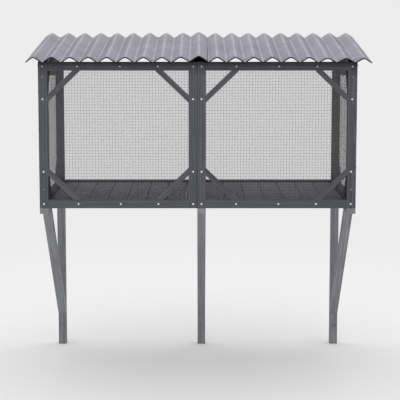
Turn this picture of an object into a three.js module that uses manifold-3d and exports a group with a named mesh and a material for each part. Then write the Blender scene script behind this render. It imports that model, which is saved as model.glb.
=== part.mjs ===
// A wall-mounted outdoor pet run: two bolted timber modules side by side, with wire mesh walls,
// a boarded floor, a corrugated lean-to roof and three support brackets. The back is open to the wall.
// Millimetres, +Z up, the front faces -Y. The origin is on the ground under the middle of the object.
import * as THREE from 'three';
import { mergeVertices } from 'three/addons/utils/BufferGeometryUtils.js';
import Module from 'manifold-3d';

const wasm = await Module();
wasm.setup();

// Overall sizes
const WIDTH = 1400;
const DEPTH = 780;
const FRONT_HEIGHT = 646.5;
const BOX_BOTTOM = 790;
const ROOF_SLOPE = Math.tan(THREE.MathUtils.degToRad(6.5));
// The seam between the two front panels is a little left of the middle of the box.
const SEAM = -2;

// Timber and its joints
const TIMBER = 38;
const HALF = TIMBER / 2;
const FRONT_THICKNESS = 22;
const GAP = 0.3;
const OVERCUT = 1;
const BRACE_WIDTH = 23.5;
const TONGUE_DEPTH = 27;
const FRONT_BRACE = { onStile: 140, onRail: 146, ear: 0 };
const SIDE_BRACE = { onStile: 105, onRail: 105, ear: 45 };

// Wire mesh, held against the inner face of each frame
const MESH_THICKNESS = 1.2;
const MESH_LAP = 25;
const MESH_FLOOR_GAP = 2;

// The side panels, the deck and the ledgers start a little behind the front panels.
const FRONT_CLEARANCE = 2;
const SIDE_START = FRONT_THICKNESS + FRONT_CLEARANCE;

// Floor
const BOARD_COUNT = 15;
const BOARD_PITCH = 88.2;
const BOARD_THICKNESS = 19;
const BOARD_SEAM = 2;
const LEDGER_THICKNESS = 10.7;
const FLOOR_TOP = LEDGER_THICKNESS + GAP + BOARD_THICKNESS;
const SEAM_DEPTH = 14;
const DECK_X = [-659, 652];
const DECK_FRONT = SIDE_START + 1;

// Roof
const WAVE = 80.1;
const WAVE_HEIGHT = 22.7;
const WAVE_STEPS = 12;
const FLANK_STRAIGHTNESS = 0.9;
const VALLEY_POWER = 0.85;
const SHEET_THICKNESS = 4.5;
const ROOF_HALF_WIDTH = 754;
const ROOF_CENTRE = 5;
const ROOF_OVERHANG = 45;

// Support brackets
const ARM_THICKNESS = 25;
const STRUT_START = 102;
const STRUT_FOOT = 158;
const BRACKET_LEFTS = { left: -WIDTH / 2, centre: SEAM, right: WIDTH / 2 - TIMBER };
const ANCHOR_HEIGHT = 92;

// Wall cleats outside the rear corners
const CLEAT_BOTTOM = 557;

const matte = (color, roughness = 0.8, metalness = 0) =>
  new THREE.MeshStandardMaterial({ color, roughness, metalness, flatShading: true });
const STAINED = matte(0x4a4b50);
const WEATHERED = matte(0x74757a);
const PINE = matte(0x9a6b3f);
const ROOFING = matte(0x94929e, 0.6);
const WIRE = matte(0x8a8d90, 0.5, 0.6);
const STEEL = matte(0xc9cbcf, 0.35, 0.8);

const hutch = new THREE.Group();

// ---- Geometry helpers ----

// An outline in (x, z), extruded along y.
function prism(outline, from, to) {
  const shape = new THREE.Shape(outline.map(([x, z]) => new THREE.Vector2(x, z)));
  const geometry = new THREE.ExtrudeGeometry(shape, { depth: to - from, bevelEnabled: false });
  return geometry.rotateX(Math.PI / 2).translate(0, to, 0);
}

// An outline in (y, z), extruded along x.
function crossPrism(outline, from, to) {
  const shape = new THREE.Shape(outline.map(([y, z]) => new THREE.Vector2(y, z)));
  const geometry = new THREE.ExtrudeGeometry(shape, { depth: to - from, bevelEnabled: false });
  const turn = new THREE.Matrix4().makeBasis(
    new THREE.Vector3(0, 1, 0), new THREE.Vector3(0, 0, 1), new THREE.Vector3(1, 0, 0));
  return geometry.applyMatrix4(turn).translate(from, 0, 0);
}

function block([x0, x1], [y0, y1], [z0, z1]) {
  return new THREE.BoxGeometry(x1 - x0, y1 - y0, z1 - z0)
    .translate((x0 + x1) / 2, (y0 + y1) / 2, (z0 + z1) / 2);
}

function solidOf(geometry) {
  const bare = geometry.clone();
  bare.deleteAttribute('normal');
  bare.deleteAttribute('uv');
  const merged = mergeVertices(bare);
  return new wasm.Manifold(new wasm.Mesh({
    numProp: 3,
    vertProperties: merged.attributes.position.array,
    triVerts: new Uint32Array(merged.index.array),
  }));
}

function geometryOf(solid) {
  const mesh = solid.getMesh();
  const geometry = new THREE.BufferGeometry();
  geometry.setAttribute('position', new THREE.BufferAttribute(mesh.vertProperties, 3));
  geometry.setIndex(new THREE.BufferAttribute(mesh.triVerts, 1));
  geometry.computeVertexNormals();
  return geometry;
}

function joined(geometries) {
  return geometryOf(geometries.map(solidOf).reduce((whole, next) => whole.add(next)));
}

function cut(geometry, tools) {
  if (tools.length === 0) return geometry;
  return geometryOf(tools.map(solidOf).reduce((left, tool) => left.subtract(tool), solidOf(geometry)));
}

// Height of the roof line above the bottom of the box, at a distance behind the front face.
const roofLine = (y) => FRONT_HEIGHT + ROOF_SLOPE * y;

// ---- Bolt and screw holes: the fasteners go in afterwards, so only their holes are made here ----

const FRONT_BOLT = { radius: 3, length: 18 };
const SIDE_BOLT = { radius: 3, length: 30 };
const PANEL_SCREW = { radius: 2, length: 50 };
const WALL_ANCHOR = {
  radius: 4, length: TIMBER, headRadius: 7, headHeight: 5, crownRadius: 4.4, crownHeight: 4,
};
const SIDES = 8;
const holes = [];

// A hole that runs along +Y of its placement, from the surface inwards.
function drill({ radius, length }, placement) {
  const hole = new THREE.CylinderGeometry(radius + GAP, radius + GAP, length + OVERCUT + GAP, SIDES)
    .translate(0, (length + GAP - OVERCUT) / 2, 0).applyMatrix4(placement);
  hole.computeBoundingBox();
  holes.push(hole);
}

const at = (x, y, z) => new THREE.Matrix4().setPosition(x, y, z);

// A piece with every hole that meets it cut out.
function drilled(geometry, placement) {
  const world = geometry.clone().applyMatrix4(placement);
  world.computeBoundingBox();
  const toLocal = placement.clone().invert();
  const meeting = holes.filter((hole) => hole.boundingBox.intersectsBox(world.boundingBox));
  return cut(geometry, meeting.map((hole) => hole.clone().applyMatrix4(toLocal)));
}

function place(name, geometry, material, placement) {
  const mesh = new THREE.Mesh(geometry, material);
  mesh.name = name;
  mesh.applyMatrix4(placement);
  hutch.add(mesh);
}

function add(name, geometry, material, placement = new THREE.Matrix4()) {
  place(name, drilled(geometry, placement), material, placement);
}

// ---- Frame panels: u runs across, v inwards from the outer face, w up ----

const FRONT_PANELS = [-1, 1].map((side) => ({
  name: side < 0 ? 'front_left' : 'front_right',
  stileNames: side < 0 ? ['outer', 'inner'] : ['inner', 'outer'],
  width: (WIDTH - GAP) / 2 - side * SEAM,
  thickness: FRONT_THICKNESS,
  heights: [FRONT_HEIGHT, FRONT_HEIGHT],
  brace: FRONT_BRACE,
  meshBottom: TIMBER - MESH_LAP,
  placement: new THREE.Matrix4().setPosition(side < 0 ? -WIDTH / 2 : SEAM + GAP / 2, 0, BOX_BOTTOM),
}));

const SIDE_PANELS = [-1, 1].map((side) => ({
  name: side < 0 ? 'side_left' : 'side_right',
  stileNames: side < 0 ? ['rear', 'front'] : ['front', 'rear'],
  width: DEPTH - SIDE_START,
  thickness: TIMBER,
  heights: side < 0 ? [roofLine(DEPTH), roofLine(SIDE_START)] : [roofLine(SIDE_START), roofLine(DEPTH)],
  brace: SIDE_BRACE,
  meshBottom: FLOOR_TOP + MESH_FLOOR_GAP,
  placement: new THREE.Matrix4().makeRotationZ(side * Math.PI / 2)
    .setPosition(side * WIDTH / 2, side < 0 ? DEPTH : SIDE_START, BOX_BOTTOM),
}));

const slopeOf = (panel) => (panel.heights[1] - panel.heights[0]) / panel.width;
const topAt = (panel, u) => panel.heights[0] + slopeOf(panel) * u;
const railDrop = (panel) => TIMBER * Math.hypot(1, slopeOf(panel));

// A bolt hole through a panel's outer face at (u, w).
function drillPanel(bolt, panel, u, w) {
  drill(bolt, at(u, 0, w).premultiply(panel.placement));
}

function stileOutline(panel, u, grow = 0) {
  const [left, right] = [u - grow, u + TIMBER + grow];
  return [
    [left, -grow], [right, -grow],
    [right, topAt(panel, right) + grow], [left, topAt(panel, left) + grow],
  ];
}

// A rail along the top or the bottom, following the panel's slope at the top.
function railOutline(panel, atTop, grow = 0) {
  const [left, right] = [-grow, panel.width + grow];
  if (!atTop) return [[left, -grow], [right, -grow], [right, TIMBER + grow], [left, TIMBER + grow]];
  const drop = railDrop(panel) + grow;
  return [
    [left, topAt(panel, left) - drop], [right, topAt(panel, right) - drop],
    [right, topAt(panel, right) + grow], [left, topAt(panel, left) + grow],
  ];
}

// The four corners of a panel's opening, with the directions along its stile and its rail.
function openingCorners(panel) {
  const run = new THREE.Vector2(1, slopeOf(panel)).normalize();
  return [true, false].flatMap((atTop) => [0, 1].map((end) => {
    const u = end ? panel.width - TIMBER : TIMBER;
    const w = atTop ? topAt(panel, u) - railDrop(panel) : TIMBER;
    const along = atTop ? run.clone() : new THREE.Vector2(1, 0);
    return {
      name: `${atTop ? 'top' : 'bottom'}_${panel.stileNames[end]}`,
      point: new THREE.Vector2(u, w),
      onStile: new THREE.Vector2(0, atTop ? -1 : 1),
      onRail: along.multiplyScalar(end ? -1 : 1),
    };
  }));
}

// The stretches where one brace meets its stile and its rail, as distances from the corner.
function braceStretches({ onStile, onRail }, { ear, ...reach }) {
  const corner = Math.abs(onStile.cross(onRail));
  const outerEdge = onStile.clone().multiplyScalar(reach.onStile)
    .distanceTo(onRail.clone().multiplyScalar(reach.onRail));
  const altitude = reach.onStile * reach.onRail * corner / outerEdge;
  const inner = (altitude - BRACE_WIDTH) / altitude;
  return {
    stile: [reach.onStile * inner, reach.onStile, ear],
    rail: [reach.onRail * inner, reach.onRail, 0],
  };
}

// The outline of a brace's tongue, which is let into the inner half of a stile or a rail.
// An ear makes it longer there than the brace is wide, so that it reaches the next bolt.
function tongueOutline(corner, direction, away, [from, to, ear], grow) {
  const spot = (distance, depth) => corner.point.clone()
    .addScaledVector(direction, distance).addScaledVector(away, depth).toArray();
  const step = ear > 0 ? [spot(to + grow, GAP - grow), spot(to + ear + grow, GAP - grow)] : [];
  return [
    spot(from - grow, -GAP - grow), spot(to + grow, -GAP - grow), ...step,
    spot(to + ear + grow, TONGUE_DEPTH + grow), spot(from - grow, TONGUE_DEPTH + grow),
  ];
}

function counterClockwise(outline) {
  const points = outline.map(([x, z]) => new THREE.Vector2(x, z));
  return THREE.ShapeUtils.isClockWise(points) ? outline.reverse() : outline;
}

function tongues(corner, reach, grow) {
  const { stile, rail } = braceStretches(corner, reach);
  const outOfRail = corner.onRail.clone().rotateAround(new THREE.Vector2(), Math.PI / 2);
  if (outOfRail.dot(corner.onStile) > 0) outOfRail.negate();
  const outOfStile = new THREE.Vector2(-Math.sign(corner.onRail.x), 0);
  return [
    counterClockwise(tongueOutline(corner, corner.onStile, outOfStile, stile, grow)),
    counterClockwise(tongueOutline(corner, corner.onRail, outOfRail, rail, grow)),
  ];
}

function braceGeometry(corner, reach, thickness) {
  const { stile, rail } = braceStretches(corner, reach);
  const start = corner.point.clone()
    .addScaledVector(corner.onStile, GAP).addScaledVector(corner.onRail, GAP);
  const onStile = (distance) => start.clone().addScaledVector(corner.onStile, distance).toArray();
  const onRail = (distance) => start.clone().addScaledVector(corner.onRail, distance).toArray();
  const bar = counterClockwise([onStile(stile[0]), onStile(stile[1]), onRail(rail[1]), onRail(rail[0])]);
  const ends = tongues(corner, reach, GAP / 2)
    .map((outline) => prism(outline, (thickness + GAP) / 2, thickness));
  return joined([prism(bar, 0, thickness), ...ends]);
}

function meshOutline(panel) {
  const [left, right] = [TIMBER - MESH_LAP, panel.width - TIMBER + MESH_LAP];
  const top = (u) => topAt(panel, u) - railDrop(panel) + MESH_LAP;
  return [[left, panel.meshBottom], [right, panel.meshBottom], [right, top(right)], [left, top(left)]];
}

// Stiles lap over the rails at the corners: the stile keeps its outer half there, the rail its inner half.
function addPanel(panel) {
  const { thickness } = panel;
  const innerHalf = [(thickness - GAP) / 2, thickness + OVERCUT];
  const outerHalf = [-OVERCUT, (thickness + GAP) / 2];
  const corners = openingCorners(panel);
  const housings = corners.flatMap((corner) => tongues(corner, panel.brace, GAP * 1.5))
    .map((outline) => prism(outline, ...innerHalf));
  const stileStarts = [0, panel.width - TIMBER];

  stileStarts.forEach((u, end) => {
    const laps = [true, false].map((atTop) => prism(railOutline(panel, atTop, GAP), ...innerHalf));
    const stile = cut(prism(stileOutline(panel, u), 0, thickness), [...laps, ...housings]);
    add(`${panel.name}_stile_${panel.stileNames[end]}`, stile, STAINED, panel.placement);
  });
  for (const atTop of [true, false]) {
    const laps = stileStarts.map((u) => prism(stileOutline(panel, u, GAP), ...outerHalf));
    const rail = cut(prism(railOutline(panel, atTop), 0, thickness), [...laps, ...housings]);
    add(`${panel.name}_rail_${atTop ? 'top' : 'bottom'}`, rail, STAINED, panel.placement);
  }
  for (const corner of corners) {
    const name = `${panel.name}_brace_${corner.name}`;
    add(name, braceGeometry(corner, panel.brace, thickness), STAINED, panel.placement);
  }
  const mesh = prism(meshOutline(panel), thickness + GAP, thickness + GAP + MESH_THICKNESS);
  add(`${panel.name}_mesh`, mesh, WIRE, panel.placement);
}

// ---- Where the bolts and screws go ----

// Both front panels carry the same bolts; the middle one of each rail is right of the panel's centre.
const STILE_BOLT = 163;
const BOLT_COLUMNS = [19, 172, 359, 526, 680];
for (const panel of FRONT_PANELS) {
  for (const w of [HALF, FRONT_HEIGHT - HALF]) {
    for (const u of BOLT_COLUMNS) drillPanel(FRONT_BOLT, panel, u, w);
  }
  for (const u of [BOLT_COLUMNS.at(0), BOLT_COLUMNS.at(-1)]) {
    for (const w of [STILE_BOLT, FRONT_HEIGHT - STILE_BOLT]) drillPanel(FRONT_BOLT, panel, u, w);
  }
}

const SIDE_BOLT_LOW = 178;
const SIDE_BOLT_HIGH_DROP = 134;
const SIDE_CORNER_DROP = 21;
const SIDE_RAIL_BOLT = 126;
for (const panel of SIDE_PANELS) {
  for (const u of [HALF, panel.width - HALF]) {
    const high = topAt(panel, u) - SIDE_BOLT_HIGH_DROP;
    const heights = [SIDE_BOLT_LOW, (SIDE_BOLT_LOW + high) / 2, high, topAt(panel, u) - SIDE_CORNER_DROP];
    for (const w of heights) drillPanel(SIDE_BOLT, panel, u, w);
  }
  for (const u of [SIDE_RAIL_BOLT, panel.width - SIDE_RAIL_BOLT]) {
    for (const w of [HALF, topAt(panel, u) - railDrop(panel) / 2]) drillPanel(SIDE_BOLT, panel, u, w);
  }
}

const PANEL_SCREW_HEIGHTS = [84, 581];
for (const x of [HALF - WIDTH / 2, WIDTH / 2 - HALF]) {
  for (const z of PANEL_SCREW_HEIGHTS) drill(PANEL_SCREW, at(x, 0, BOX_BOTTOM + z));
}

// ---- The front and the sides: two front panels and one on each side ----

for (const panel of [...FRONT_PANELS, ...SIDE_PANELS]) addPanel(panel);

// ---- The back and the middle: rear rails, a centre post and two rafters ----

// The rear rails reach to the mesh of the side panels, with a gap on each side of that mesh.
const INNER_X = WIDTH / 2 - TIMBER - 2 * GAP - MESH_THICKNESS;
const REAR = [DEPTH - TIMBER, DEPTH];
const onRoofLine = (y0, y1, drop) => [
  [y0, BOX_BOTTOM + roofLine(y0) - drop], [y1, BOX_BOTTOM + roofLine(y1) - drop],
  [y1, BOX_BOTTOM + roofLine(y1)], [y0, BOX_BOTTOM + roofLine(y0)],
];
const POST = [BOX_BOTTOM + TIMBER + GAP, BOX_BOTTOM + roofLine(REAR[0]) - TIMBER - GAP];

add('rear_rail_bottom', block([-INNER_X, INNER_X], REAR, [BOX_BOTTOM, BOX_BOTTOM + TIMBER]), STAINED);
add('rear_rail_top', crossPrism(onRoofLine(...REAR, TIMBER), -INNER_X, INNER_X), STAINED);
add('rear_centre_post', block([SEAM - HALF, SEAM + HALF], REAR, POST), STAINED);
for (const side of [-1, 1]) {
  const label = side < 0 ? 'left' : 'right';
  const x = side < 0 ? [SEAM - TIMBER, SEAM - GAP / 2] : [SEAM + GAP / 2, SEAM + TIMBER];
  const outline = onRoofLine(SIDE_START, REAR[0] - GAP, TIMBER);
  add(`centre_rafter_${label}`, crossPrism(outline, ...x), STAINED);
}

// ---- The floor: a deck of boards running front to back, on a ledger at each end ----

// The boards are laid from the right, and the last one on the left is cut narrower.

const DECK_Y = [DECK_FRONT, REAR[0] - 2 * GAP];
const DECK_TOP = BOX_BOTTOM + FLOOR_TOP;
const deck = block(DECK_X, DECK_Y, [DECK_TOP - BOARD_THICKNESS, DECK_TOP]);
const seams = Array.from({ length: BOARD_COUNT - 1 }, (_, i) => {
  const middle = DECK_X[1] - (i + 1) * BOARD_PITCH;
  const x = [middle - BOARD_SEAM / 2, middle + BOARD_SEAM / 2];
  const y = [DECK_Y[0] - OVERCUT, DECK_Y[1] + OVERCUT];
  return block(x, y, [DECK_TOP - SEAM_DEPTH, DECK_TOP + OVERCUT]);
});
add('floor_deck', cut(deck, seams), STAINED);

const LEDGER_FRONTS = { front: DECK_FRONT, rear: REAR[0] - TIMBER - GAP };
for (const [end, y] of Object.entries(LEDGER_FRONTS)) {
  const z = [BOX_BOTTOM, BOX_BOTTOM + LEDGER_THICKNESS];
  add(`floor_ledger_${end}`, block(DECK_X, [y, y + TIMBER], z), STAINED);
}

// ---- The roof: two corrugated sheets, lapped by one wave over the middle ----

const SHEET_LIFT = SHEET_THICKNESS + GAP;
const LAP_EDGE = WAVE / 2;
// The flanks are nearly straight, the crests round and the valleys between them narrower.
function roofWave(x) {
  const bend = Math.asin(FLANK_STRAIGHTNESS * Math.cos(2 * Math.PI * x / WAVE));
  return WAVE_HEIGHT * ((1 + bend / Math.asin(FLANK_STRAIGHTNESS)) / 2) ** VALLEY_POWER;
}

// The upper sheet rises over the lower one across the wave next to the lap.
const liftOver = (x) => SHEET_LIFT * THREE.MathUtils.smoothstep(x, -LAP_EDGE - WAVE, -LAP_EDGE);

function sheetGeometry(from, to, lift) {
  const count = Math.round((to - from) / WAVE * WAVE_STEPS);
  const xs = Array.from({ length: count + 1 }, (_, i) => from + (to - from) * i / count);
  const under = xs.map((x) => [x, roofWave(x) + lift(x)]);
  const over = under.map(([x, z]) => [x, z + SHEET_THICKNESS]).reverse();
  const stretch = Math.hypot(1, ROOF_SLOPE);
  return prism([...under, ...over], -ROOF_OVERHANG * stretch, DEPTH * stretch)
    .rotateX(Math.atan(ROOF_SLOPE))
    .translate(ROOF_CENTRE, 0, BOX_BOTTOM + FRONT_HEIGHT + GAP);
}

add('roof_sheet_left', sheetGeometry(-ROOF_HALF_WIDTH, LAP_EDGE, liftOver), ROOFING);
add('roof_sheet_right', sheetGeometry(-LAP_EDGE, ROOF_HALF_WIDTH, () => 0), ROOFING);

// ---- Support brackets: a leg on the wall, an arm under the box and a strut between them ----

const ARM_BOTTOM = BOX_BOTTOM - ARM_THICKNESS;
const STRUT_ANGLE = Math.atan2(ARM_BOTTOM - STRUT_FOOT, REAR[0] - STRUT_START);
const strutOutline = [
  [STRUT_START, ARM_BOTTOM - GAP],
  [REAR[0] - GAP, STRUT_FOOT],
  [REAR[0] - GAP, STRUT_FOOT + TIMBER / Math.cos(STRUT_ANGLE)],
  [STRUT_START + TIMBER / Math.sin(STRUT_ANGLE), ARM_BOTTOM - GAP],
];

// A domed head standing a gap off the leg, and a shank through it to the wall.
function anchorGeometry({ radius, length, headRadius, headHeight, crownRadius, crownHeight }) {
  const profile = [
    [0, -GAP - headHeight], [crownRadius, -GAP - crownHeight], [headRadius, -GAP],
    [radius, -GAP], [radius, length], [0, length],
  ];
  return new THREE.LatheGeometry(profile.map(([r, y]) => new THREE.Vector2(r, y)), SIDES);
}

for (const [label, left] of Object.entries(BRACKET_LEFTS)) {
  const x = [left, left + TIMBER];
  const anchor = at(left + HALF, REAR[0], ANCHOR_HEIGHT);
  drill(WALL_ANCHOR, anchor);
  add(`bracket_leg_${label}`, block(x, REAR, [0, ARM_BOTTOM - GAP]), WEATHERED);
  add(`bracket_arm_${label}`, block(x, [0, DEPTH], [ARM_BOTTOM, BOX_BOTTOM - GAP]), WEATHERED);
  add(`bracket_strut_${label}`, crossPrism(strutOutline, ...x), WEATHERED);
  place(`wall_anchor_${label}`, anchorGeometry(WALL_ANCHOR), STEEL, anchor);
}

// ---- Wall cleats, screwed to the outside of the rear corners ----

for (const side of [-1, 1]) {
  const inner = WIDTH / 2 + GAP;
  const x = side < 0 ? [-inner - TIMBER, -inner] : [inner, inner + TIMBER];
  const outline = onRoofLine(...REAR, roofLine(REAR[0]) - CLEAT_BOTTOM);
  outline[1][1] = outline[0][1];
  add(`wall_cleat_${side < 0 ? 'left' : 'right'}`, crossPrism(outline, ...x), PINE);
}

// The origin goes under the middle of the whole object.
const bounds = new THREE.Box3().setFromObject(hutch);
hutch.position.x = -(bounds.min.x + bounds.max.x) / 2;
hutch.position.y = -(bounds.min.y + bounds.max.y) / 2;

export default hutch;
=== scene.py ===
"""A wall-mounted outdoor pet enclosure: timber frames, wire mesh, boards, a corrugated roof and brackets."""
import math
import random

import bmesh
import bpy
from mathutils import Matrix, Vector


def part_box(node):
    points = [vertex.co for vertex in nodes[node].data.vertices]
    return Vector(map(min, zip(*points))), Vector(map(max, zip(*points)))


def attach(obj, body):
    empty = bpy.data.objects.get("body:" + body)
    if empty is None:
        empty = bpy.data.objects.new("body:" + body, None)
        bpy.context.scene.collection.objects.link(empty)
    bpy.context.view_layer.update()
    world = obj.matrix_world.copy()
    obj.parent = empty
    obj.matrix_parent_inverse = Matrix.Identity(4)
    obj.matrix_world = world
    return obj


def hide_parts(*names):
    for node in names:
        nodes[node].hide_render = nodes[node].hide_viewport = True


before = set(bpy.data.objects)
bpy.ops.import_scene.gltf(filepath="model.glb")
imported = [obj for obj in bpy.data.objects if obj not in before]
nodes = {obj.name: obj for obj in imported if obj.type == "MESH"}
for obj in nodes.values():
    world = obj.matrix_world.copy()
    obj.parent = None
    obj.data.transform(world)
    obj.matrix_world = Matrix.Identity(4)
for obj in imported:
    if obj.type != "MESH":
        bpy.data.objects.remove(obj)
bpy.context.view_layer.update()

MM = 0.001
scene = bpy.context.scene

# ---- Measures shared by the pieces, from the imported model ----

LOW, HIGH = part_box("front_left_stile_outer")[0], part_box("front_right_stile_outer")[1]
FRONT_Y, BOX_Z = LOW.y, LOW.z
LEFT_X, RIGHT_X = LOW.x, HIGH.x
BACK_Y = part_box("rear_rail_bottom")[1].y
SEAM_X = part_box("front_right_stile_inner")[0].x
PANEL_HEIGHT = HIGH.z - LOW.z
TIMBER = 38 * MM
SLOPE = math.radians(6.5)

# ---- Camera ----

CAMERA_RIGHT, CAMERA_DISTANCE, CAMERA_HEIGHT = 0.0103, 6.118, 1.6326
CAMERA_TILT = math.radians(7.5)
SENSOR_WIDTH, FOCAL_LENGTH = 36, 125.33
FRAME_MIDDLE = (LEFT_X + RIGHT_X) / 2

camera = bpy.data.objects.new("camera", bpy.data.cameras.new("camera"))
camera.data.sensor_width = SENSOR_WIDTH
camera.data.lens = FOCAL_LENGTH
camera.location = (FRAME_MIDDLE + CAMERA_RIGHT, FRONT_Y - CAMERA_DISTANCE, CAMERA_HEIGHT)
camera.rotation_euler = (math.pi / 2 - CAMERA_TILT, 0, 0)
scene.collection.objects.link(camera)
scene.camera = camera

# ---- Stage, world and lights ----

scene.view_settings.view_transform = "Standard"
scene.view_settings.look = "None"


def add_node(tree, kind, values=None, **settings):
    """Adds a shader node, sets its settings, and sets or links each named input."""
    made = tree.nodes.new(kind)
    for key, value in settings.items():
        setattr(made, key, value)
    for key, value in (values or {}).items():
        if isinstance(value, bpy.types.NodeSocket):
            tree.links.new(value, made.inputs[key])
        else:
            made.inputs[key].default_value = value
    return made


def range_node(tree, value, start, end, low=0.0, high=1.0, **settings):
    """Maps a value from one range to another, and holds it at both ends."""
    ends = {"From Min": start, "From Max": end, "To Min": low, "To Max": high}
    return add_node(tree, "ShaderNodeMapRange", {"Value": value, **ends}, **settings).outputs[0]


def noise(tree, place, scale, detail, **values):
    """The factor of a noise texture."""
    return add_node(tree, "ShaderNodeTexNoise", {
        "Vector": place, "Scale": scale, "Detail": detail, **values}).outputs["Fac"]


def new_material(name):
    material = bpy.data.materials.new(name)
    material.use_nodes = True
    material.node_tree.nodes.clear()
    return material, material.node_tree


def close_material(tree, shader):
    output = add_node(tree, "ShaderNodeOutputMaterial")
    tree.links.new(shader, output.inputs["Surface"])


def math_node(tree, operation, *values):
    """One calculation with sockets or numbers."""
    made = tree.nodes.new("ShaderNodeMath")
    made.operation = operation
    for i, value in enumerate(values):
        if isinstance(value, bpy.types.NodeSocket):
            tree.links.new(value, made.inputs[i])
        else:
            made.inputs[i].default_value = value
    return made.outputs[0]


def ramp(tree, factor, stops):
    """Blends the (position, colour) stops along a factor."""
    made = add_node(tree, "ShaderNodeValToRGB", {"Fac": factor})
    elements = made.color_ramp.elements
    while len(elements) < len(stops):
        elements.new(0.5)
    for element, (position, colour) in zip(elements, stops):
        element.position = position
        element.color = (*colour, 1)
    return made.outputs["Color"]


def mixed(tree, factor, a, b, blend="MIX"):
    """Mixes two colours, each a socket or a plain colour."""
    made = tree.nodes.new("ShaderNodeMix")
    made.data_type = "RGBA"
    made.blend_type = blend
    for index, value in ((0, factor), (6, a), (7, b)):
        if isinstance(value, bpy.types.NodeSocket):
            tree.links.new(value, made.inputs[index])
        elif index == 0:
            made.inputs[index].default_value = value
        else:
            made.inputs[index].default_value = (*value, 1)
    return made.outputs[2]


world = bpy.data.worlds.new("studio")
world.use_nodes = True
scene.world = world
background = world.node_tree.nodes["Background"]
background.inputs["Color"].default_value = (0.847, 0.847, 0.847, 1)
background.inputs["Strength"].default_value = 1.0

FLOOR_COLOUR = (0.95, 0.95, 0.95, 1)
FLOOR_HALF = 14
FLOOR_FADE = (1.0, 4.5)


def build_floor():
    """A pale floor that fades into the world's colour at a distance."""
    mesh = bpy.data.meshes.new("studio_floor")
    made = bmesh.new()
    bmesh.ops.create_grid(made, x_segments=1, y_segments=1, size=FLOOR_HALF)
    made.to_mesh(mesh)
    made.free()
    floor = bpy.data.objects.new("studio_floor", mesh)
    scene.collection.objects.link(floor)
    material, tree = new_material("studio_floor")
    place = add_node(tree, "ShaderNodeTexCoord").outputs["Object"]
    distance = add_node(tree, "ShaderNodeVectorMath", {0: place}, operation="LENGTH").outputs["Value"]
    fade = range_node(tree, distance, *FLOOR_FADE, interpolation_type="SMOOTHSTEP")
    solid = add_node(tree, "ShaderNodeBsdfDiffuse", {"Color": FLOOR_COLOUR}).outputs[0]
    clear = add_node(tree, "ShaderNodeBsdfTransparent").outputs[0]
    blend = add_node(tree, "ShaderNodeMixShader", {0: fade, 1: solid, 2: clear}).outputs[0]
    close_material(tree, blend)
    mesh.materials.append(material)


def area_light(name, location, target, size, power):
    """A rectangular light that faces its target."""
    light = bpy.data.lights.new(name, "AREA")
    light.shape = "RECTANGLE"
    light.size, light.size_y = size
    light.energy = power
    made = bpy.data.objects.new(name, light)
    made.location = location
    made.rotation_euler = (Vector(target) - Vector(location)).to_track_quat("-Z", "Y").to_euler()
    scene.collection.objects.link(made)


build_floor()
area_light("top_softbox", (0, 0.6, 4.6), (0, 0, 1.2), (2.4, 2.4), 26)
area_light("rear_softbox", (0, 4.2, 3.2), (0, 0, 1.6), (2.6, 1.6), 6)
area_light("front_key", (0, -5.0, 4.4), (0, 0, 1.2), (3.0, 2.0), 30)

# ---- Timber ----

EDGE_WEAR_RADIUS = 2.2 * MM
BEVEL_WIDTH = 0.5 * MM

# Painted shade of the roof: under it the front timbers keep a share of their colour, by depth below their
# top.
# Painted shade darkens the seam between the two front panels.
ROOF_SHADE_DEPTH = 60 * MM
ROOF_SHADE_KEPT = ((0, 0.36), (0.25, 0.54), (0.34, 0.76), (0.63, 0.8), (1, 1))
SEAM_SHADE_SPAN = (0.5 * MM, 3.5 * MM)
SEAM_SHADE_COLOUR = (0.004, 0.004, 0.005)


def grain_turn(grain):
    """A rotation that lays the grain direction along X."""
    along = Vector(grain).normalized()
    side = along.cross(Vector((0, 0, 1)) if abs(along.z) < 0.9 else Vector((1, 0, 0))).normalized()
    return Matrix((along, side, along.cross(side)))


def edge_mask(tree, radius):
    """1 on worn edges and 0 on flat faces."""
    rounded = add_node(tree, "ShaderNodeBevel", {"Radius": radius}, samples=4).outputs["Normal"]
    flat = add_node(tree, "ShaderNodeNewGeometry").outputs["True Normal"]
    likeness = add_node(tree, "ShaderNodeVectorMath", {0: rounded, 1: flat}, operation="DOT_PRODUCT")
    return range_node(tree, likeness.outputs["Value"], 0.995, 0.80)


def paint_shade_under_roof_and_seam(tree, place, colour):
    """Paints shade on a front timber close under the roof, and in the seam between the two front panels."""
    spot = add_node(tree, "ShaderNodeSeparateXYZ", {"Vector": place}).outputs
    below_top = range_node(tree, spot[2], HIGH.z, HIGH.z - ROOF_SHADE_DEPTH)
    under_roof = ramp(tree, below_top, [(position, (kept,) * 3) for position, kept in ROOF_SHADE_KEPT])
    from_seam = math_node(tree, "ABSOLUTE", math_node(tree, "SUBTRACT", spot[0], SEAM_X))
    colour = mixed(tree, 1.0, colour, under_roof, "MULTIPLY")
    return mixed(tree, range_node(tree, from_seam, *SEAM_SHADE_SPAN, 0.5), SEAM_SHADE_COLOUR, colour)


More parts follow.
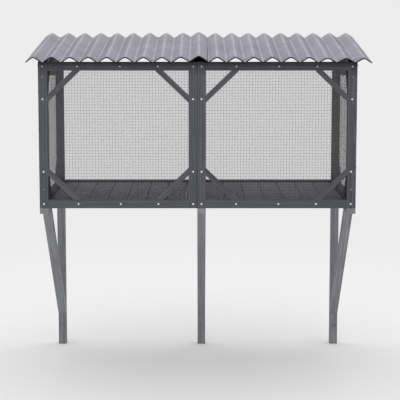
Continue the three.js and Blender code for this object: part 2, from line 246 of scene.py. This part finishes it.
def timber_material(name, grain, centre, seed, look, painted_shade=False):
    """Timber cut along the grain, with fibres, growth rings, blotches, faint knots and worn edges."""
    rng = random.Random(seed)
    material, tree = new_material(name)
    turn = grain_turn(grain)
    pith = Vector((
        rng.uniform(-9, 9), rng.choice((-1, 1)) * rng.uniform(0.02, 0.07), rng.uniform(0.01, 0.06)))
    place = add_node(tree, "ShaderNodeTexCoord").outputs["Object"]
    turned = add_node(tree, "ShaderNodeMapping", {
        "Vector": place,
        "Location": pith - turn @ Vector(centre),
        "Rotation": turn.to_euler(),
    }).outputs[0]

    def stretched(share):
        scale = (share, 1, 1)
        return add_node(tree, "ShaderNodeVectorMath", {0: turned, 1: scale}, operation="MULTIPLY").outputs[0]

    fibres = noise(tree, stretched(0.03), 620, 3, Roughness=0.65)
    streaks = noise(tree, stretched(0.035), 120, 2, Roughness=0.55)
    rings = add_node(tree, "ShaderNodeTexWave", {
        "Vector": stretched(0.12), "Scale": 36, "Distortion": 4.5, "Detail": 2, "Detail Scale": 0.9,
    }, wave_type="RINGS", rings_direction="X", wave_profile="SAW").outputs["Fac"]
    blotches = noise(tree, stretched(0.35), 9, 2)
    spots = add_node(tree, "ShaderNodeTexVoronoi", {
        "Vector": stretched(0.55), "Scale": 7.0}, feature="F1").outputs["Distance"]
    knots = range_node(tree, spots, 0.075, 0.03, interpolation_type="SMOOTHSTEP")

    figure = math_node(tree, "MULTIPLY_ADD", rings, look["rings"], math_node(
        tree, "MULTIPLY_ADD", fibres, look["fibres"], math_node(
            tree, "MULTIPLY", streaks, look["streaks"])))
    total = look["rings"] + look["fibres"] + look["streaks"]
    colour = ramp(tree, math_node(tree, "DIVIDE", figure, total), look["stops"])
    tone = ramp(tree, blotches, [(0.28, (look["blotch"],) * 3), (0.72, (2 - look["blotch"],) * 3)])
    colour = mixed(tree, 1.0, colour, tone, "MULTIPLY")
    shade = rng.uniform(*look["shade"])
    colour = mixed(tree, 1.0, colour, (shade, shade, shade * rng.uniform(0.985, 1.02)), "MULTIPLY")
    colour = mixed(tree, math_node(tree, "MULTIPLY", knots, look["knots"]), colour, look["dark"])
    worn_streaks = range_node(tree, streaks, 0.4, 0.62)
    wear = math_node(tree, "MULTIPLY", edge_mask(tree, EDGE_WEAR_RADIUS), worn_streaks)
    colour = mixed(tree, math_node(tree, "MULTIPLY", wear, look["wear"]), colour, look["bare"])
    # Painted shade under the roof and in the seam between the front panels.
    if painted_shade:
        colour = paint_shade_under_roof_and_seam(tree, place, colour)

    rough = range_node(tree, fibres, 0.25, 0.75, *look["rough"])
    height = math_node(tree, "MULTIPLY_ADD", rings, 0.5, math_node(tree, "SUBTRACT", fibres, knots))
    bump = add_node(tree, "ShaderNodeBump", {
        "Height": height, "Strength": look["bump"], "Distance": 0.5 * MM}).outputs[0]
    shader = add_node(tree, "ShaderNodeBsdfPrincipled", {
        "Base Color": colour, "Roughness": rough, "Normal": bump,
        "Specular IOR Level": look["specular"]})
    close_material(tree, shader.outputs[0])
    return material


STAINED = {
    "stops": [(0.25, (0.040, 0.042, 0.050)), (0.5, (0.078, 0.081, 0.093)), (0.78, (0.125, 0.129, 0.145))],
    "rings": 0.5, "fibres": 0.9, "streaks": 0.8, "blotch": 0.9, "shade": (0.98, 1.03),
    "knots": 0.35, "dark": (0.03, 0.03, 0.035), "wear": 0.5, "bare": (0.16, 0.165, 0.18),
    "rough": (0.5, 0.72), "bump": 0.35, "specular": 0.35,
}
WEATHERED = {
    "stops": [(0.25, (0.14, 0.142, 0.156)), (0.5, (0.225, 0.229, 0.246)), (0.78, (0.325, 0.33, 0.347))],
    "rings": 0.5, "fibres": 0.9, "streaks": 1.1, "blotch": 0.9, "shade": (0.99, 1.03),
    "knots": 0.5, "dark": (0.06, 0.058, 0.06), "wear": 0.45, "bare": (0.30, 0.30, 0.31),
    "rough": (0.62, 0.85), "bump": 0.5, "specular": 0.25,
}
BOARD = {
    "stops": [(0.25, (0.048, 0.045, 0.058)), (0.5, (0.085, 0.08, 0.102)), (0.78, (0.138, 0.131, 0.16))],
    "rings": 0.9, "fibres": 0.9, "streaks": 1.0, "blotch": 0.82, "shade": (0.86, 1.12),
    "knots": 0.6, "dark": (0.025, 0.025, 0.03), "wear": 0.4, "bare": (0.15, 0.15, 0.165),
    "rough": (0.5, 0.75), "bump": 0.5, "specular": 0.3,
}
PINE = {
    "stops": [(0.25, (0.28, 0.125, 0.045)), (0.5, (0.4, 0.2, 0.08)), (0.78, (0.5, 0.285, 0.13))],
    "rings": 1.2, "fibres": 0.6, "streaks": 0.6, "blotch": 0.86, "shade": (0.95, 1.05),
    "knots": 0.7, "dark": (0.12, 0.05, 0.02), "wear": 0.3, "bare": (0.5, 0.36, 0.2),
    "rough": (0.5, 0.7), "bump": 0.4, "specular": 0.3,
}


def longest_direction(node):
    """The way a node's timber runs: between its two ends if it is slanted, or else along its longest side."""
    low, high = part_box(node)
    points = [v.co.copy() for v in nodes[node].data.vertices]
    size = high - low
    slanted = sorted(size)[1] > 3 * TIMBER
    if slanted:
        first = max(points, key=lambda p: (p - (low + high) / 2).length)
        second = max(points, key=lambda p: (p - first).length)
        mean = sum(points, Vector()) / len(points)
        spread = [p - mean for p in points if (p - first).length < 2 * TIMBER]
        other = [p - mean for p in points if (p - second).length < 2 * TIMBER]
        return sum(spread, Vector()) / len(spread) - sum(other, Vector()) / len(other)
    axis = max(range(3), key=lambda i: size[i])
    return Vector([1 if i == axis else 0 for i in range(3)])


def dress_timber(node, look, seed):
    """Gives a carried-over timber its material and eased edges."""
    low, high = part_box(node)
    grain = longest_direction(node)
    thing = nodes[node]
    thing.data.materials.clear()
    # The front timbers get painted shade under the roof and at the seam.
    painted_shade = node.startswith("front_")
    material = timber_material("timber_" + node, grain, (low + high) / 2, seed, look, painted_shade)
    thing.data.materials.append(material)
    weld = thing.modifiers.new("weld", "WELD")
    weld.merge_threshold = 0.01 * MM
    flat = thing.modifiers.new("flat", "DECIMATE")
    flat.decimate_type = "DISSOLVE"
    flat.angle_limit = math.radians(0.5)
    bevel = thing.modifiers.new("edges", "BEVEL")
    bevel.width = BEVEL_WIDTH
    bevel.segments = 2
    bevel.limit_method = "ANGLE"
    bevel.angle_limit = math.radians(50)


def look_of(node):
    if node.startswith("bracket_"):
        return WEATHERED
    return PINE if node.startswith("wall_cleat") else STAINED


# These nodes are replaced by new pieces.
LEFT_OUT = ("_mesh", "floor_deck", "roof_sheet", "wall_anchor")
for number, node in enumerate(sorted(nodes)):
    if not any(word in node for word in LEFT_OUT):
        dress_timber(node, look_of(node), number)

# ---- Building new pieces ----


def add_piece(name, made, materials, replaced=(), smooth=True):
    """Turns a bmesh into a piece on the one body, which stands for the replaced nodes."""
    mesh = bpy.data.meshes.new(name)
    made.to_mesh(mesh)
    made.free()
    for material in materials:
        mesh.materials.append(material)
    for face in mesh.polygons:
        face.use_smooth = smooth
    piece = bpy.data.objects.new(name, mesh)
    scene.collection.objects.link(piece)
    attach(piece, "root")
    if replaced:
        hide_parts(*replaced)
    return piece


def sharpen(piece, degrees):
    """Keeps edges over an angle sharp on a smooth piece."""
    piece.data.set_sharp_from_angle(angle=math.radians(degrees))


def tube(made, points, normal, wide, thick, sides):
    """A closed oval bar through the points, thick along the normal and wide across it."""
    rings = []
    for i, point in enumerate(points):
        before, after = points[max(i - 1, 0)], points[min(i + 1, len(points) - 1)]
        along = (after - before).normalized()
        side = along.cross(normal).normalized()
        up = side.cross(along)
        rings.append([made.verts.new(
            point + wide / 2 * math.cos(2 * math.pi * k / sides) * side
            + thick / 2 * math.sin(2 * math.pi * k / sides) * up) for k in range(sides)])
    for ring, after in zip(rings, rings[1:]):
        for k in range(sides):
            made.faces.new((ring[k], ring[(k + 1) % sides], after[(k + 1) % sides], after[k]))
    made.faces.new(rings[0][::-1])
    made.faces.new(rings[-1])


def turned_shape(made, profile, placement, sides=20):
    """A closed lathe of (radius, height) points round local Z, from an apex to an apex."""
    rings = []
    for radius, height in profile:
        count = 1 if radius == 0 else sides
        rings.append([made.verts.new(placement @ Vector((
            radius * math.cos(2 * math.pi * k / count), radius * math.sin(2 * math.pi * k / count), height)))
            for k in range(count)])
    for ring, after in zip(rings, rings[1:]):
        for k in range(sides):
            corners = [ring[k % len(ring)], ring[(k + 1) % len(ring)],
                       after[(k + 1) % len(after)], after[k % len(after)]]
            made.faces.new(list(dict.fromkeys(corners)))


def facing(direction, location):
    """A placement whose local Z points along the direction."""
    turn = Vector(direction).to_track_quat("Z", "X").to_matrix().to_4x4()
    return Matrix.Translation(location) @ turn


# ---- Metal ----


def metal_material(name, colour, dark, rough, metallic=0.9):
    """Plated steel with fine speckle and dull patches."""
    material, tree = new_material(name)
    place = add_node(tree, "ShaderNodeTexCoord").outputs["Object"]
    speckle = noise(tree, place, 900, 3)
    patches = noise(tree, place, 60, 2)
    tint = ramp(tree, math_node(tree, "MULTIPLY_ADD", speckle, 0.4, math_node(
        tree, "MULTIPLY", patches, 0.6)), [(0.35, dark), (0.6, colour)])
    roughness = range_node(tree, patches, 0.3, 0.7, *rough)
    bump = add_node(tree, "ShaderNodeBump", {
        "Height": speckle, "Strength": 0.08, "Distance": 0.1 * MM}).outputs[0]
    shader = add_node(tree, "ShaderNodeBsdfPrincipled", {
        "Base Color": tint, "Roughness": roughness, "Normal": bump, "Metallic": metallic})
    close_material(tree, shader.outputs[0])
    return material


ZINC = metal_material("zinc_plate", (0.86, 0.87, 0.89), (0.66, 0.67, 0.70), (0.22, 0.42))
# A darker copy of the zinc, as painted shade of the roof on the top row of bolts.
ROOF_SHADED_ZINC = metal_material("roof_shaded_zinc", (0.56, 0.57, 0.59), (0.42, 0.43, 0.45), (0.3, 0.5))
DULL_STEEL = metal_material("dull_steel", (0.34, 0.34, 0.36), (0.20, 0.20, 0.22), (0.4, 0.6))
WIRE = metal_material("coated_wire", (0.078, 0.078, 0.087), (0.05, 0.05, 0.057), (0.45, 0.65), 0.2)

# ---- Wire mesh ----

WIRE_PITCH = 12.7 * MM
# Each wire is an oval, given as its width across the mesh and its thickness.
MAIN_WIRE, FINE_WIRE = (1.2 * MM, 0.25 * MM), (0.46 * MM, 0.12 * MM)
STRANDS = 4
WIRE_STEP, WIRE_SWAY, WIRE_SIDES = 50 * MM, 0.12 * MM, 6

# The upright and the level wires lie a little apart, on both sides of the plate's middle.
LAYER_SHIFT = 0.2 * MM


def wire_panel(node, origin, across, up, inward):
    """Welded mesh in the place of a packed plate: main wires both ways, with three finer ones in between."""
    rng = random.Random(node)
    corners = [v.co.copy() for v in nodes[node].data.vertices]
    flat = [((c - origin).dot(across), (c - origin).dot(up)) for c in corners]
    depths = [(c - origin).dot(inward) for c in corners]
    middle = (min(depths) + max(depths)) / 2
    left, right = min(u for u, _ in flat), max(u for u, _ in flat)
    bottom = min(w for _, w in flat)
    top_left = max(w for u, w in flat if u < left + MM)
    top_right = max(w for u, w in flat if u > right - MM)

    def top(u):
        return top_left + (top_right - top_left) * (u - left) / (right - left)

    made = bmesh.new()

    def wire(start, end, depth, sway, gauge):
        step = WIRE_STEP if gauge is MAIN_WIRE else 2 * WIRE_STEP
        steps = max(2, round((end - start).length / step))
        points = []
        for i in range(steps + 1):
            shift = rng.uniform(-WIRE_SWAY, WIRE_SWAY) if 0 < i < steps else 0
            points.append(start.lerp(end, i / steps) + sway * shift + inward * depth)
        tube(made, points, inward, *gauge, WIRE_SIDES)

    def gauge_of(i):
        return FINE_WIRE if i % STRANDS else MAIN_WIRE

    pitch = WIRE_PITCH / STRANDS
    count = STRANDS * int((right - left - MAIN_WIRE[0]) / WIRE_PITCH)
    margin = (right - left - count * pitch) / 2
    for i in range(count + 1):
        u = left + margin + i * pitch
        foot = origin + across * u
        wire(foot + up * bottom, foot + up * top(u), middle - LAYER_SHIFT, across, gauge_of(i))
    for i in range(1, int((max(top_left, top_right) - bottom) / pitch)):
        level = bottom + i * pitch
        ends = [u for u in (left, right) if top(u) > level]
        if len(ends) == 1:
            crossing = left + (right - left) * (level - top_left) / (top_right - top_left)
            ends = sorted((ends[0], crossing))
        if ends[1] - ends[0] > WIRE_PITCH:
            start = origin + across * ends[0] + up * level
            end = start + across * (ends[1] - ends[0])
            wire(start, end, middle + LAYER_SHIFT, up, gauge_of(i))
    add_piece(node.replace("_mesh", "_wire_mesh"), made, [WIRE], [node])


X, Y, Z = Vector((1, 0, 0)), Vector((0, 1, 0)), Vector((0, 0, 1))
wire_panel("front_left_mesh", Vector((LEFT_X, FRONT_Y, BOX_Z)), X, Z, Y)
wire_panel("front_right_mesh", Vector((SEAM_X, FRONT_Y, BOX_Z)), X, Z, Y)
wire_panel("side_left_mesh", Vector((LEFT_X, FRONT_Y, BOX_Z)), Y, Z, X)
wire_panel("side_right_mesh", Vector((RIGHT_X, FRONT_Y, BOX_Z)), Y, Z, -X)

# ---- Floor boards ----

BOARD_COUNT, BOARD_PITCH, BOARD_GAP = 15, 88.2 * MM, 2 * MM
BOARD_EASE, BOARD_STEPS = 1.6 * MM, 6
FIRST_BOARD_SEED, FIRST_BOARD_LOOK_SEED = 100, 300


def board_edges(number, low, high):
    """A board's left and right edge: the boards are laid from the right, and the first one is cut to fit."""
    right = high.x - (BOARD_COUNT - 1 - number) * BOARD_PITCH
    left = max(right - BOARD_PITCH + BOARD_GAP / 2, low.x)
    return left, right - (BOARD_GAP / 2 if number < BOARD_COUNT - 1 else 0)


def floor_board(number, low, high):
    """One board with eased edges and a slightly crowned top, cut to a slightly different length each time."""
    rng = random.Random(FIRST_BOARD_SEED + number)
    left, right = board_edges(number, low, high)
    half, thick = (right - left) / 2, high.z - low.z
    cup = rng.uniform(0.1, 0.5) * MM
    shoulder = thick - BOARD_EASE - cup
    upper = [(c * (half - BOARD_EASE), thick - cup * c * c) for c in (1, 0.5, 0, -0.5, -1)]
    section = [(-half, 0), (half, 0), (half, shoulder)] + upper + [(-half, shoulder)]
    made = bmesh.new()
    start, end = low.y + rng.uniform(0, 0.8) * MM, high.y - rng.uniform(0, 0.8) * MM
    rings = []
    for i in range(BOARD_STEPS + 1):
        y = start + (end - start) * i / BOARD_STEPS
        rings.append([made.verts.new(((left + right) / 2 + x, y, low.z + z)) for x, z in section])
    for ring, after in zip(rings, rings[1:]):
        for k in range(len(section)):
            following = (k + 1) % len(section)
            made.faces.new((ring[k], after[k], after[following], ring[following]))
    made.faces.new(rings[0])
    made.faces.new(rings[-1][::-1])
    centre = Vector(((left + right) / 2, (start + end) / 2, low.z + thick / 2))
    name = f"floor_board_{number + 1:02d}"
    material = timber_material(name, Y, centre, FIRST_BOARD_LOOK_SEED + number, BOARD)
    add_piece(name, made, [material], ["floor_deck"], smooth=False)


deck_low, deck_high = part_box("floor_deck")
for number in range(BOARD_COUNT):
    floor_board(number, deck_low, deck_high)

# ---- Roof ----

WAVE, WAVE_HEIGHT, SHEET, LIFT = 80.1 * MM, 22.7 * MM, 4.5 * MM, 4.8 * MM
FLANK_STRAIGHTNESS, VALLEY_POWER = 0.9, 0.85
# At the lap the slanted cut shows the sheet's dark core, which also serves as painted shadow under the lifted
# edge.
FRONT_SLANT, LAP_SLANT = 5 * MM, 2.5 * MM
POINTS_PER_WAVE, ROOF_STEPS = 28, 12

# The left sheet rises over the right one near the middle crest.
LIFT_SPAN = (-1.1 * WAVE, -0.5 * WAVE)

# The front corners have sunk: the crests have lost a share of their height, and the edges hang down.
CREST_LOSS, CREST_LOSS_SPAN = 0.2, (5.6 * WAVE, 7.6 * WAVE)
EDGE_DROPS, EDGE_SPAN = ((1, 4 * MM), (-1, 2.4 * MM)), (8.95 * WAVE, 9.25 * WAVE)
SUNK_LENGTH = 0.5

ROOF_COLOURS = [(0.72, (0.156, 0.151, 0.195)), (1.0, (0.198, 0.192, 0.243)), (1.3, (0.247, 0.239, 0.298))]
WORN_PAINT_AND_HIGHLIGHT = (1.42, 1.42, 1.38)
CREST_X = (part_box("roof_sheet_left")[0].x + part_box("roof_sheet_right")[1].x) / 2


def roof_material(name):
    """Painted corrugated sheet: fine fibres, streaks down the slope, and lighter crests and valleys, partly
    worn and dusty paint and partly painted highlight.
    """
    material, tree = new_material(name)
    place = add_node(tree, "ShaderNodeTexCoord").outputs["Object"]

    def stretched(scale):
        return add_node(tree, "ShaderNodeVectorMath", {0: place, 1: scale}, operation="MULTIPLY").outputs[0]

    fibre = noise(tree, stretched((1, 0.25, 1)), 420, 4, Roughness=0.7)
    cross = noise(tree, stretched((0.12, 1, 1)), 300, 2)
    streaks = noise(tree, stretched((1, 0.06, 1)), 55, 3)
    patches = noise(tree, place, 5, 3)
    mix = math_node(tree, "MULTIPLY_ADD", fibre, 0.5, math_node(tree, "MULTIPLY_ADD", cross, 0.3, math_node(
        tree, "MULTIPLY_ADD", streaks, 0.7, math_node(tree, "MULTIPLY", patches, 0.5))))
    colour = ramp(tree, mix, ROOF_COLOURS)
    spot = add_node(tree, "ShaderNodeSeparateXYZ", {"Vector": place}).outputs
    # Crests and valleys are made lighter: partly worn paint, partly painted highlight.
    across = math_node(tree, "SUBTRACT", spot[0], CREST_X)
    phase = math_node(tree, "COSINE", math_node(tree, "MULTIPLY", across, 2 * math.pi / WAVE))
    crest = range_node(tree, phase, 0.86, 0.99, interpolation_type="SMOOTHSTEP")
    valley = range_node(tree, phase, -0.92, -0.985, interpolation_type="SMOOTHSTEP")
    wear_and_highlight = math_node(tree, "MULTIPLY", math_node(tree, "MAXIMUM", crest, valley), math_node(
        tree, "MULTIPLY_ADD", streaks, 0.8, 0.6))
    colour = mixed(tree, wear_and_highlight, colour, mixed(tree, 1.0, colour, WORN_PAINT_AND_HIGHLIGHT, "MULTIPLY"))
    height = math_node(tree, "MULTIPLY_ADD", fibre, 0.6, cross)
    bump = add_node(tree, "ShaderNodeBump", {
        "Height": height, "Strength": 0.22, "Distance": 0.4 * MM}).outputs[0]
    rough = range_node(tree, streaks, 0.3, 0.7, 0.38, 0.52)
    shader = add_node(tree, "ShaderNodeBsdfPrincipled", {
        "Base Color": colour, "Roughness": rough, "Normal": bump, "Specular IOR Level": 0.2})
    close_material(tree, shader.outputs[0])
    return material


def roof_core_material(name):
    """The dark core of the sheet, on its underside and its cut edges."""
    material, tree = new_material(name)
    place = add_node(tree, "ShaderNodeTexCoord").outputs["Object"]
    grain = noise(tree, place, 350, 4)
    colour = ramp(tree, grain, [(0.3, (0.002, 0.002, 0.003)), (0.7, (0.007, 0.007, 0.009))])
    bump = add_node(tree, "ShaderNodeBump", {
        "Height": grain, "Strength": 0.5, "Distance": 0.3 * MM}).outputs[0]
    rough = range_node(tree, grain, 0.3, 0.7, 0.65, 0.9)
    shader = add_node(tree, "ShaderNodeBsdfPrincipled", {
        "Base Color": colour, "Roughness": rough, "Normal": bump, "Specular IOR Level": 0.08})
    close_material(tree, shader.outputs[0])
    return material


ROOF_TOP, ROOF_CORE = roof_material("roof_paint"), roof_core_material("roof_core")
sheet_low, sheet_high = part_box("roof_sheet_right")
ROOF_RUN = (sheet_low.y + (WAVE_HEIGHT + SHEET) * math.sin(SLOPE), sheet_high.y)
ROOF_ZERO = sheet_low.z - ROOF_RUN[0] * math.tan(SLOPE)


def smoothstep(x, low, high):
    """0 below the low value, 1 above the high one and a smooth rise in between."""
    t = min(max((x - low) / (high - low), 0), 1)
    return t * t * (3 - 2 * t)


def roof_point(x, y_level, height):
    """A point at a distance from the middle crest and a height over the trough plane, square to it."""
    return Vector((CREST_X + x, y_level - height * math.sin(SLOPE),
                   ROOF_ZERO + y_level * math.tan(SLOPE) + height * math.cos(SLOPE)))


def wave(x):
    """Height of the wave at a distance from a crest: round crests, nearly straight flanks, narrow valleys."""
    bend = math.asin(FLANK_STRAIGHTNESS * math.cos(2 * math.pi * x / WAVE))
    return WAVE_HEIGHT * ((1 + bend / math.asin(FLANK_STRAIGHTNESS)) / 2) ** VALLEY_POWER


def sunk(x, along):
    """How far a front corner has sunk, by distance from the middle crest and share of the roof's length."""
    flatter = CREST_LOSS * wave(x) * smoothstep(x, *CREST_LOSS_SPAN)
    hanging = sum(drop * smoothstep(side * x, *EDGE_SPAN) for side, drop in EDGE_DROPS)
    return (flatter + hanging) * (1 - smoothstep(along, 0, SUNK_LENGTH))


def roof_sheet(name, node, lift=0.0, slant=0.0):
    """One sheet; its front and its right edge are cut on a slant, so that the dark core shows there; at the
    lap it also serves as painted shadow.
    """
    low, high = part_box(node)
    count = round((high.x - low.x) / WAVE * POINTS_PER_WAVE)
    xs = [low.x - CREST_X + (high.x - low.x) * i / count for i in range(count + 1)]
    made = bmesh.new()

    def layer(start, over):
        rows = []
        for j in range(ROOF_STEPS + 1):
            along = j / ROOF_STEPS
            y_level = start + (ROOF_RUN[1] - start) * along
            heights = [wave(x) + lift * smoothstep(x, *LIFT_SPAN) - sunk(x, along) + over for x in xs]
            rows.append([made.verts.new(roof_point(x, y_level, height)) for x, height in zip(xs, heights)])
        return rows

    def face(material, *corners):
        made.faces.new(corners).material_index = material

    under = layer(ROOF_RUN[0], 0)
    xs[-1] -= slant
    upper = layer(ROOF_RUN[0] + FRONT_SLANT, SHEET)
    top, core = 0, 1
    for j in range(ROOF_STEPS):
        for i in range(count):
            face(top, upper[j][i], upper[j][i + 1], upper[j + 1][i + 1], upper[j + 1][i])
            face(core, under[j][i], under[j + 1][i], under[j + 1][i + 1], under[j][i + 1])
        face(core, under[j][0], upper[j][0], upper[j + 1][0], under[j + 1][0])
        face(core, under[j][-1], under[j + 1][-1], upper[j + 1][-1], upper[j][-1])
    for i in range(count):
        face(core, under[0][i], under[0][i + 1], upper[0][i + 1], upper[0][i])
        face(core, under[-1][i + 1], under[-1][i], upper[-1][i], upper[-1][i + 1])
    piece = add_piece(name, made, [ROOF_TOP, ROOF_CORE], [node])
    sharpen(piece, 40)


roof_sheet("roof_cover_left", "roof_sheet_left", LIFT, LAP_SLANT)
roof_sheet("roof_cover_right", "roof_sheet_right")

# ---- Fasteners ----

# Each profile lists (radius, height) points in millimetres, from the top of the head to the shank's end.
DOME_HEAD = [(0, 3.4), (1.9, 3.2), (3.4, 2.5), (4.5, 1.3), (5.0, 0.5), (5.15, 0.15), (5.05, 0),
             (3.0, 0), (3.0, -16), (0, -17.5)]
CAP_NUT_DOME = [(0, 6.6), (1.8, 6.3), (3.3, 5.3), (4.1, 4.1), (4.3, 3.6), (3.0, 3.2), (3.0, -26), (0, -28)]
WASHER = [(0, 1.3), (5.6, 1.3), (6.3, 1.1), (6.5, 0.7), (6.5, 0), (0, 0)]
SMALL_HEAD = [(0, 0.5), (1.3, 0.9), (1.9, 1.6), (3.2, 1.4), (3.9, 0.6), (4.0, 0), (1.8, -1.0),
              (1.8, -52), (0, -55)]
FLUSH_HEAD = [(0, -0.7), (1.2, -0.3), (1.6, 0.25), (3.3, 0.25), (3.5, 0), (1.8, -2.6), (1.8, -24), (0, -26)]
ROOF_HEAD = [(0, 4.8), (2.6, 4.5), (3.8, 3.2), (4.0, 1.6), (7.0, 1.2), (8.0, 0.6), (8.0, 0), (2.3, 0),
             (2.3, -28), (0, -30)]
WALL_BOLT = [(0, 7.2), (2.6, 6.8), (4.8, 5.4), (6.3, 3.2), (6.9, 1.2), (7.0, 0.3), (6.8, 0), (4.0, 0),
             (4.0, -37.5), (0, -37.8)]
NUT_ACROSS, NUT_LOW, NUT_HIGH, NUT_CHAMFER = 10 * MM, 1.3 * MM, 3.9 * MM, 0.5 * MM


def scaled(profile):
    """A profile in metres."""
    return [(radius * MM, height * MM) for radius, height in profile]


def hexagon_nut(made, placement, across, low, high):
    """A hexagon with chamfered corners, from the low to the high height."""
    corner = across / math.sqrt(3)
    rings = []
    for radius, height in (
            (corner, low), (corner, high - NUT_CHAMFER), (corner - 1.6 * NUT_CHAMFER, high)):
        rings.append([made.verts.new(placement @ Vector((
            radius * math.cos(math.pi * k / 3), radius * math.sin(math.pi * k / 3), height)))
            for k in range(6)])
    for ring, after in zip(rings, rings[1:]):
        for k in range(6):
            made.faces.new((ring[k], ring[(k + 1) % 6], after[(k + 1) % 6], after[k]))
    made.faces.new(rings[0][::-1])
    made.faces.new(rings[-1])


def fastener_piece(name, spots, build, material, replaced=()):
    """Fasteners of one kind at (direction, location) spots, as one piece."""
    made = bmesh.new()
    for direction, location in spots:
        build(made, facing(direction, location))
    bmesh.ops.recalc_face_normals(made, faces=made.faces)
    piece = add_piece(name, made, [material], replaced)
    sharpen(piece, 50)


def cap_nut(made, placement):
    """A washer, a hexagon and a dome with its shank."""
    turned_shape(made, scaled(WASHER), placement)
    hexagon_nut(made, placement, NUT_ACROSS, NUT_LOW, NUT_HIGH)
    turned_shape(made, scaled(CAP_NUT_DOME), placement)


def screw(profile, sides=20):
    """A builder of one turned fastener."""
    return lambda made, placement: turned_shape(made, scaled(profile), placement, sides)


def roof_height(y):
    """Height of the side panels' top above the box's bottom."""
    return PANEL_HEIGHT + (y - FRONT_Y) * math.tan(SLOPE)


EDGE, STILE_BOLT = TIMBER / 2, 163 * MM
BOLT_COLUMNS = [u * MM for u in (19, 172, 359, 526, 680)]
SCREW_LEVELS = (84 * MM, 581 * MM)

front_spots, painted_shade_spots = [], []
for start in (LEFT_X, SEAM_X):
    heads = [(u, EDGE) for u in BOLT_COLUMNS]
    heads += [(u, w) for u in (BOLT_COLUMNS[0], BOLT_COLUMNS[-1])
              for w in (STILE_BOLT, PANEL_HEIGHT - STILE_BOLT)]
    front_spots += [(-Y, (start + u, FRONT_Y, BOX_Z + w)) for u, w in heads]
    painted_shade_spots += [(-Y, (start + u, FRONT_Y, BOX_Z + PANEL_HEIGHT - EDGE)) for u in BOLT_COLUMNS]
fastener_piece("front_bolts", front_spots, screw(DOME_HEAD), ZINC)
# The top row of bolts gets the zinc with painted shade of the roof.
fastener_piece("front_bolts_under_roof", painted_shade_spots, screw(DOME_HEAD), ROOF_SHADED_ZINC)

screw_spots = [(-Y, (x, FRONT_Y, BOX_Z + w)) for x in (LEFT_X + EDGE, RIGHT_X - EDGE) for w in SCREW_LEVELS]
fastener_piece("panel_screws", screw_spots, screw(SMALL_HEAD), DULL_STEEL)

SIDE_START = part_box("side_left_stile_front")[0].y
SIDE_LOW, SIDE_HIGH_DROP, SIDE_CORNER_DROP, SIDE_RAIL_BOLT = 178 * MM, 134 * MM, 21 * MM, 126 * MM
nut_spots = []
for x, direction in ((LEFT_X, -X), (RIGHT_X, X)):
    for y in (SIDE_START + EDGE, BACK_Y - EDGE):
        top = roof_height(y)
        high = top - SIDE_HIGH_DROP
        nut_spots += [(direction, (x, y, BOX_Z + w))
                      for w in (SIDE_LOW, (SIDE_LOW + high) / 2, high, top - SIDE_CORNER_DROP)]
    for y in (SIDE_START + SIDE_RAIL_BOLT, BACK_Y - SIDE_RAIL_BOLT):
        rail_middles = (EDGE, roof_height(y) - EDGE / math.cos(SLOPE))
        nut_spots += [(direction, (x, y, BOX_Z + w)) for w in rail_middles]
fastener_piece("side_cap_nuts", nut_spots, cap_nut, DULL_STEEL)

BOARD_SCREW_SHIFTS, BOARD_SCREW_SINK = (-24 * MM, 24 * MM), 0.35 * MM
board_spots = []
for number in range(BOARD_COUNT):
    middle = sum(board_edges(number, deck_low, deck_high)) / 2
    for ledger in ("floor_ledger_front", "floor_ledger_rear"):
        y = sum(corner.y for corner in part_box(ledger)) / 2
        board_spots += [(Z, (middle + shift, y, deck_high.z - BOARD_SCREW_SINK))
                        for shift in BOARD_SCREW_SHIFTS]
fastener_piece("board_screws", board_spots, screw(FLUSH_HEAD, 16), DULL_STEEL)

# The roof is screwed down in valleys, which lie half a wave off the crests.
SCREWED_VALLEYS = (-8.5, -5.5, -2.5, 2.5, 5.5, 8.5)
ROOF_UP = (0, -math.sin(SLOPE), math.cos(SLOPE))
roof_spots = [(ROOF_UP, roof_point(valley * WAVE, y, SHEET))
              for valley in SCREWED_VALLEYS for y in (FRONT_Y + EDGE, BACK_Y - EDGE)]
fastener_piece("roof_screws", roof_spots, screw(ROOF_HEAD), roof_material("roof_screw_paint"))

FACE_GAP = 0.3 * MM
wall_spots = []
for side in ("left", "centre", "right"):
    anchor_low, anchor_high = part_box(f"wall_anchor_{side}")
    centre = (anchor_low + anchor_high) / 2
    wall_spots.append((-Y, (centre.x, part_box(f"bracket_leg_{side}")[0].y - FACE_GAP, centre.z)))
fastener_piece("wall_bolts", wall_spots, screw(WALL_BOLT, 24), DULL_STEEL,
               ["wall_anchor_left", "wall_anchor_centre", "wall_anchor_right"])
